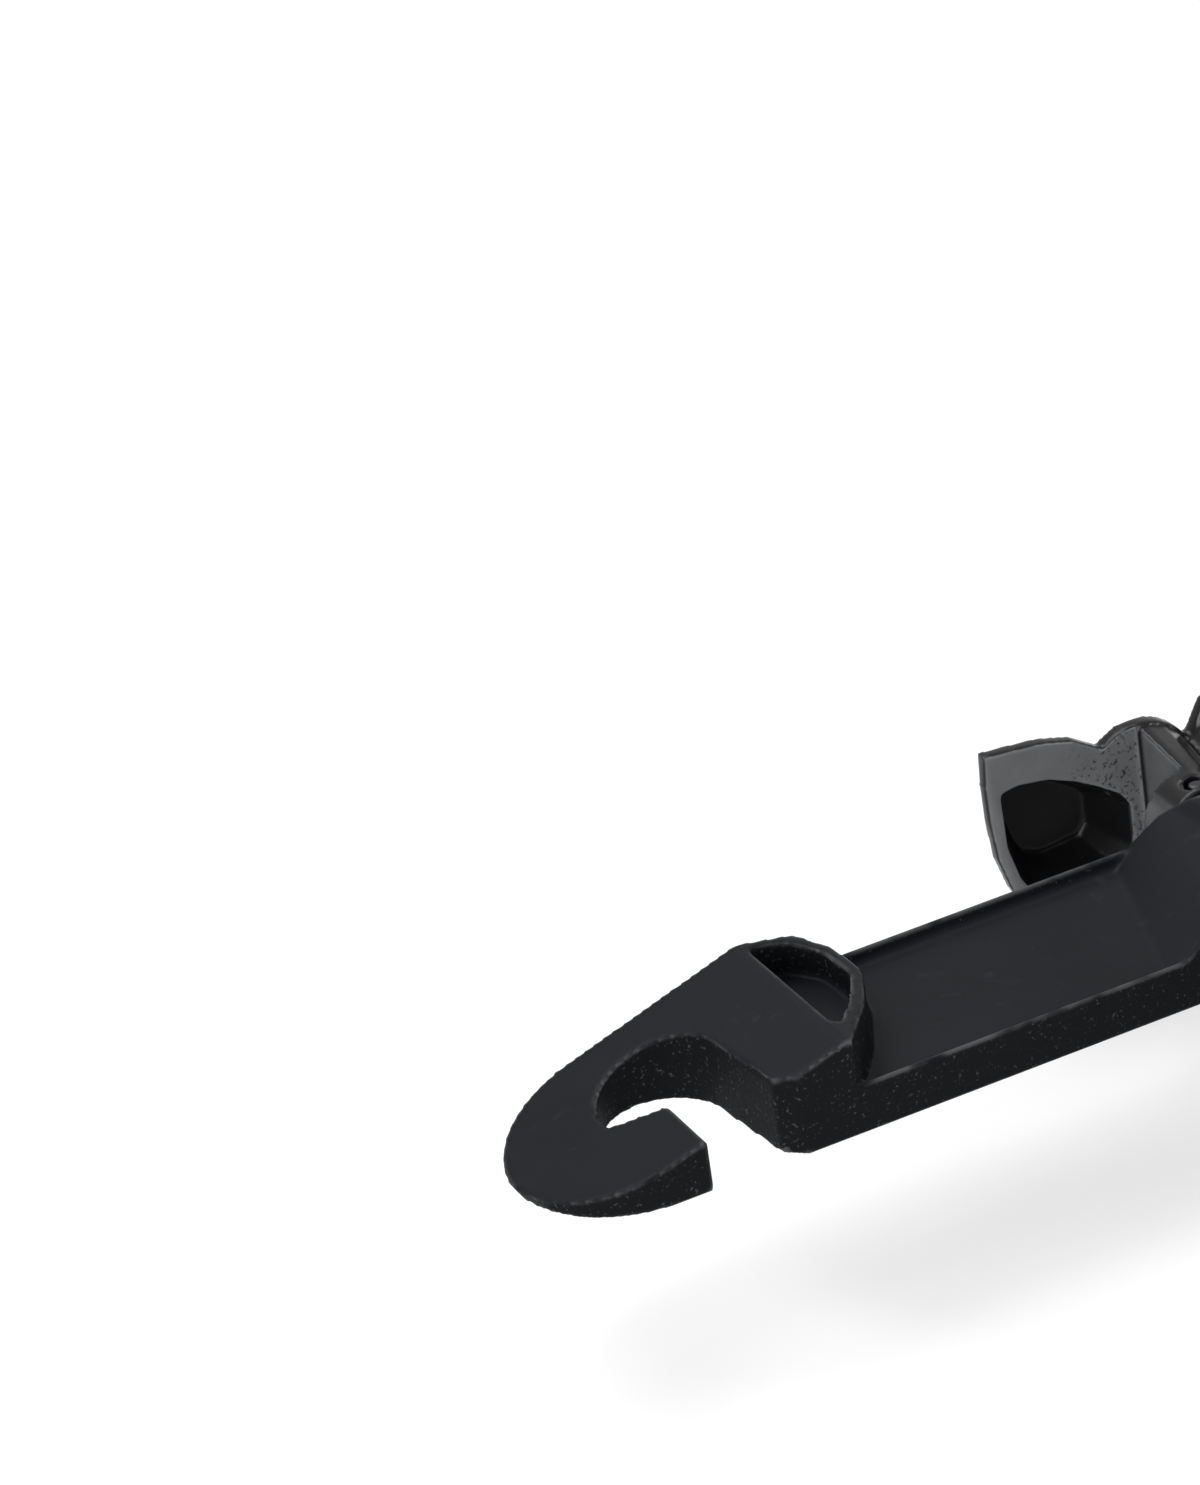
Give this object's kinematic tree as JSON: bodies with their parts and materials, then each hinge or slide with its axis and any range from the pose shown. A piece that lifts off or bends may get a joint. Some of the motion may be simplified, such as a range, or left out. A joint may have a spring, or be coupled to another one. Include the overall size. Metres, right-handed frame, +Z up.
{
  "type": "manual can opener",
  "caption": "Black moulded manual can opener with two crossed levers, a butterfly turning key, geared cutter and feed wheels, and a ring-pull hook at its nose.",
  "frame": {"origin": "under the middle of the whole part, on the surface that the lower handle rests on", "axes": "+X from the ring-pull hook to the handles' ends, +Y towards the turning key, +Z up"},
  "size_m": [0.1756, 0.0412, 0.0389],
  "materials": {
    "black_moulding": "satin black moulded plastic, spark-eroded on its sides",
    "black_key": "glossy black moulded plastic",
    "soft_grip": "soft matt black grip",
    "bright_steel": "bright plated steel",
    "gear_steel": "machined steel",
    "tool_steel": "ground hardened steel",
    "bronze": "sintered bronze"
  },
  "bodies": {
    "opener_body": {"main_body": "black_moulding", "upper_grip": "soft_grip", "hanging_cap": "black_moulding", "head_plate": "bright_steel", "head_screw_front": "bright_steel", "head_screw_back": "bright_steel", "near_bush": "bronze", "far_bush": "bronze", "pivot_pin": "bright_steel", "pivot_washer": "bright_steel", "pivot_clip": "bright_steel"},
    "key_drive": {"turning_key": "black_key", "key_pin": "bright_steel", "thrust_washer": "bright_steel", "drive_shaft": "bright_steel", "drive_gear": "gear_steel", "feed_wheel": "tool_steel", "feed_nut": "bright_steel"},
    "cutter_lever": {"lower_handle": "black_moulding", "lower_grip": "soft_grip", "lower_cap": "black_moulding", "jaw_plate": "bright_steel", "jaw_screw_front": "bright_steel", "jaw_screw_back": "bright_steel", "cutter_axle": "bright_steel", "cutter_nut": "bright_steel"},
    "cutter_drive": {"cutter_gear": "gear_steel", "cutter_spacer": "bright_steel", "cutter_wheel": "tool_steel"}
  },
  "joints": [
    {"name": "key_turn", "type": "hinge", "parent": "opener_body", "child": "key_drive", "pos_m": [-0.02915, -0.0024, 0.0152], "axis": [0, 1, 0], "continuous": true},
    {"name": "handle_open", "type": "hinge", "parent": "opener_body", "child": "cutter_lever", "pos_m": [-0.01325, -0.0024, 0.021], "axis": [0, 1, 0], "range_deg": [0, 30]},
    {"name": "cutter_spin", "type": "hinge", "parent": "cutter_lever", "child": "cutter_drive", "pos_m": [-0.02825, -0.0024, 0.02927], "axis": [0, 1, 0], "continuous": true}
  ],
  "couplings": [
    {"joint": "cutter_spin", "follows": "key_turn", "ratio": -1}
  ]
}
